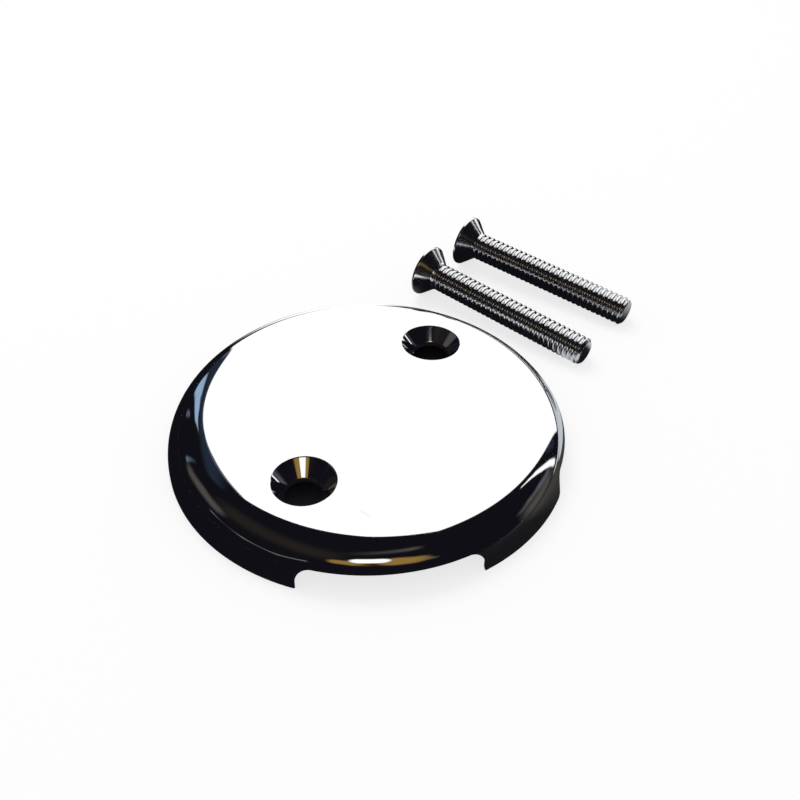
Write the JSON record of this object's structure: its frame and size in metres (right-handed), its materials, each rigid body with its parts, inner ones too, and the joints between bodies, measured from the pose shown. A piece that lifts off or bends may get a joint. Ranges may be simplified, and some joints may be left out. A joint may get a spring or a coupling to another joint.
{
  "type": "bath overflow plate",
  "caption": "Round dished chrome bath overflow plate with two countersunk screw holes and notches in its rim, with its fixing screws beside it.",
  "frame": {"origin": "the plate's axis at its rim plane, the face that sits against the bath wall", "axes": "+Z along the plate's axis, out of the wall it covers; the two screw holes lie along X, 1 mm below the plate's middle; the notched side of the rim faces -Y, down when fitted"},
  "size_m": [0.1133, 0.0794, 0.0116],
  "materials": {
    "chrome_plate": "mirror-polished chrome plate on pressed brass sheet",
    "plated_screw": "bright chrome plate on brass screws"
  },
  "bodies": {
    "root": {"face_plate": "chrome_plate", "front_screw": "plated_screw", "rear_screw": "plated_screw"}
  },
  "joints": []
}
